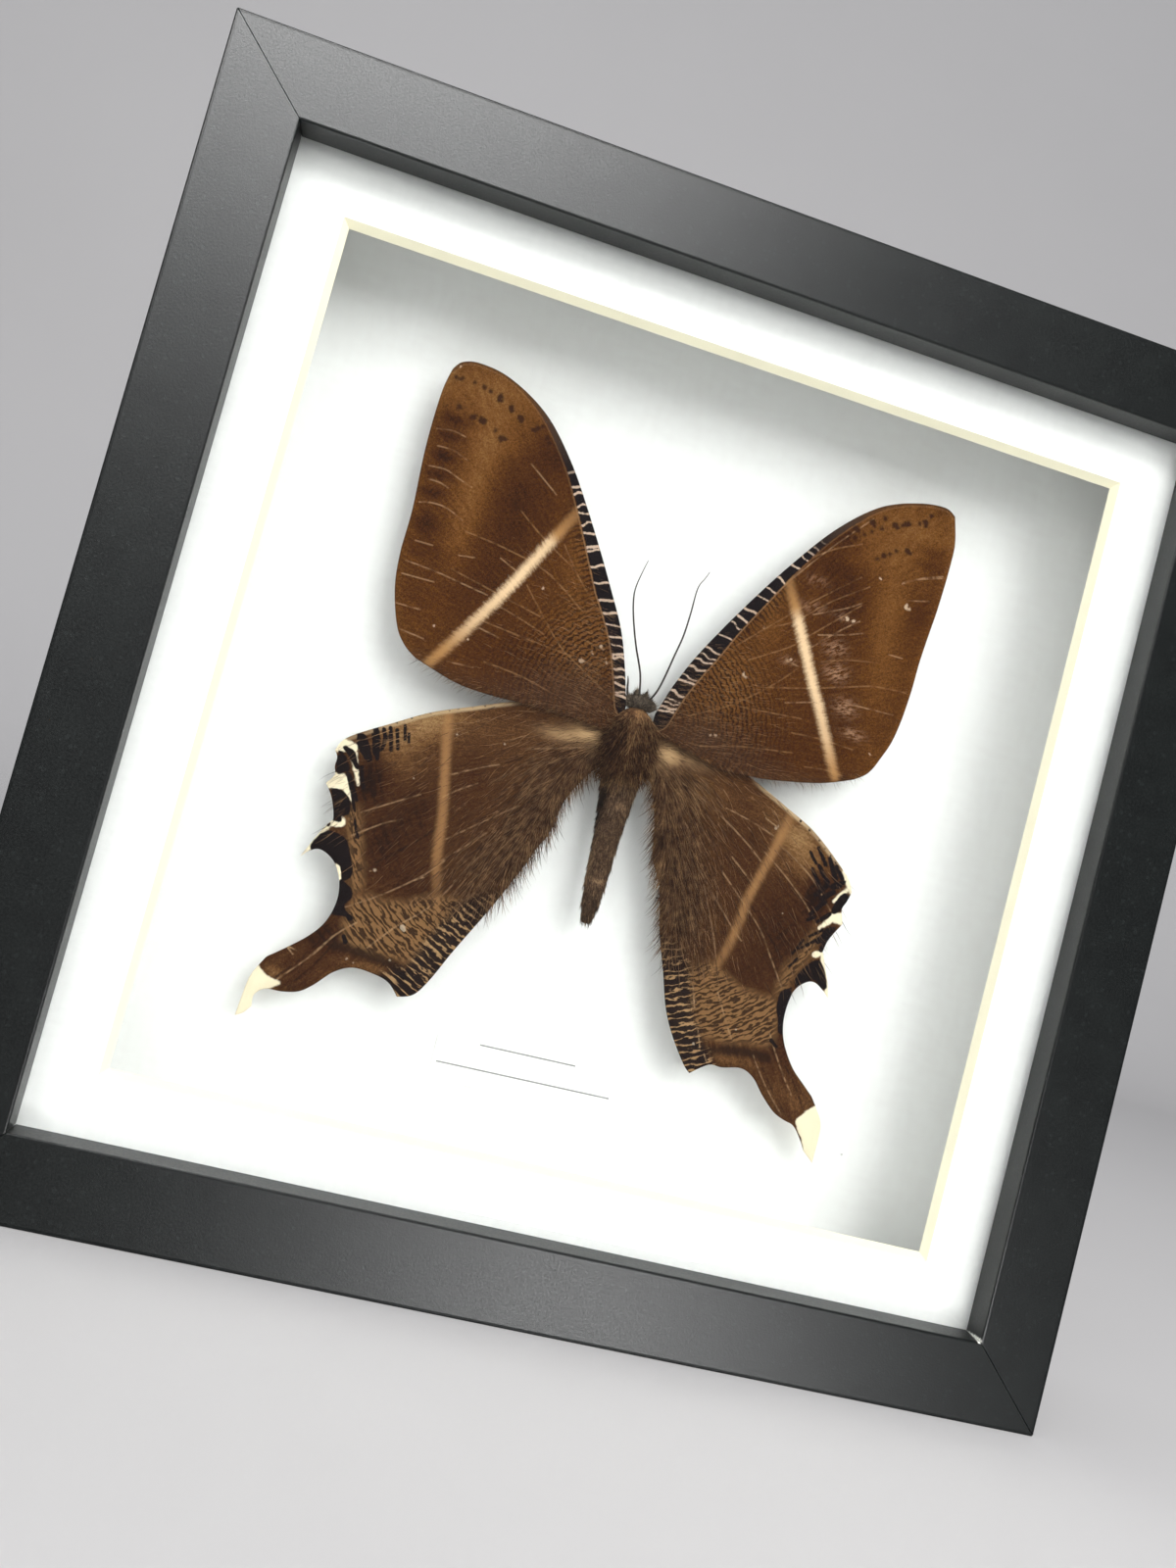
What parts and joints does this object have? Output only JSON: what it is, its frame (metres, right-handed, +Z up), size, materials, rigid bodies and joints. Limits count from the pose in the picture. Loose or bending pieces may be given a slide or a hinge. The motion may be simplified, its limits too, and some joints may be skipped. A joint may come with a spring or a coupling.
{
  "type": "framed moth specimen",
  "caption": "Square black shadow-box frame with a spread brown swallowtail moth pinned on a white board behind glass and a bevelled white window mat.",
  "frame": {"origin": "centre of the footprint, on the surface that the bottom rail stands on", "axes": "+X to the viewer's right, -Y the side with the glass, +Z up"},
  "size_m": [0.2, 0.04, 0.2],
  "materials": {
    "black_paint": "matte black paint on wood",
    "clear_glass": "clear flat picture glass",
    "mat_card": "white mat card with a cream bevel",
    "white_board": "matte white board",
    "label_paper": "white paper with two plain grey ruled lines",
    "hardboard": "raw brown hardboard",
    "zinc_steel": "zinc plated steel",
    "body_hair": "brown hair",
    "head_scales": "dark grey-brown scales",
    "abdomen_scales": "grey-brown scales",
    "forewing_scales": "brown wing scales with a tan band",
    "hindwing_scales": "brown wing scales with a tan band and black and cream margin spots",
    "dark_limb": "dark dry chitin"
  },
  "bodies": {
    "root": {"frame_rail_bottom": "black_paint", "frame_rail_left": "black_paint", "frame_rail_top": "black_paint", "frame_rail_right": "black_paint", "retaining_tab_bottom_1": "zinc_steel", "retaining_tab_bottom_2": "zinc_steel", "retaining_tab_left_1": "zinc_steel", "retaining_tab_left_2": "zinc_steel", "retaining_tab_top_1": "zinc_steel", "retaining_tab_top_2": "zinc_steel", "retaining_tab_right_1": "zinc_steel", "retaining_tab_right_2": "zinc_steel", "glass_pane": "clear_glass", "window_mat": "mat_card", "spacer_bottom": "white_board", "spacer_top": "white_board", "spacer_left": "white_board", "spacer_right": "white_board", "mount_board": "white_board", "specimen_label": "label_paper", "back_panel": "hardboard", "sawtooth_hanger": "zinc_steel", "hanger_nail_left": "zinc_steel", "hanger_nail_right": "zinc_steel", "thorax": "body_hair", "head": "head_scales", "abdomen": "abdomen_scales", "forewing_left": "forewing_scales", "forewing_right": "forewing_scales", "hindwing_left": "hindwing_scales", "hindwing_right": "hindwing_scales", "antenna_left": "dark_limb", "antenna_right": "dark_limb", "foreleg_left": "dark_limb", "specimen_pin": "zinc_steel"}
  },
  "joints": []
}
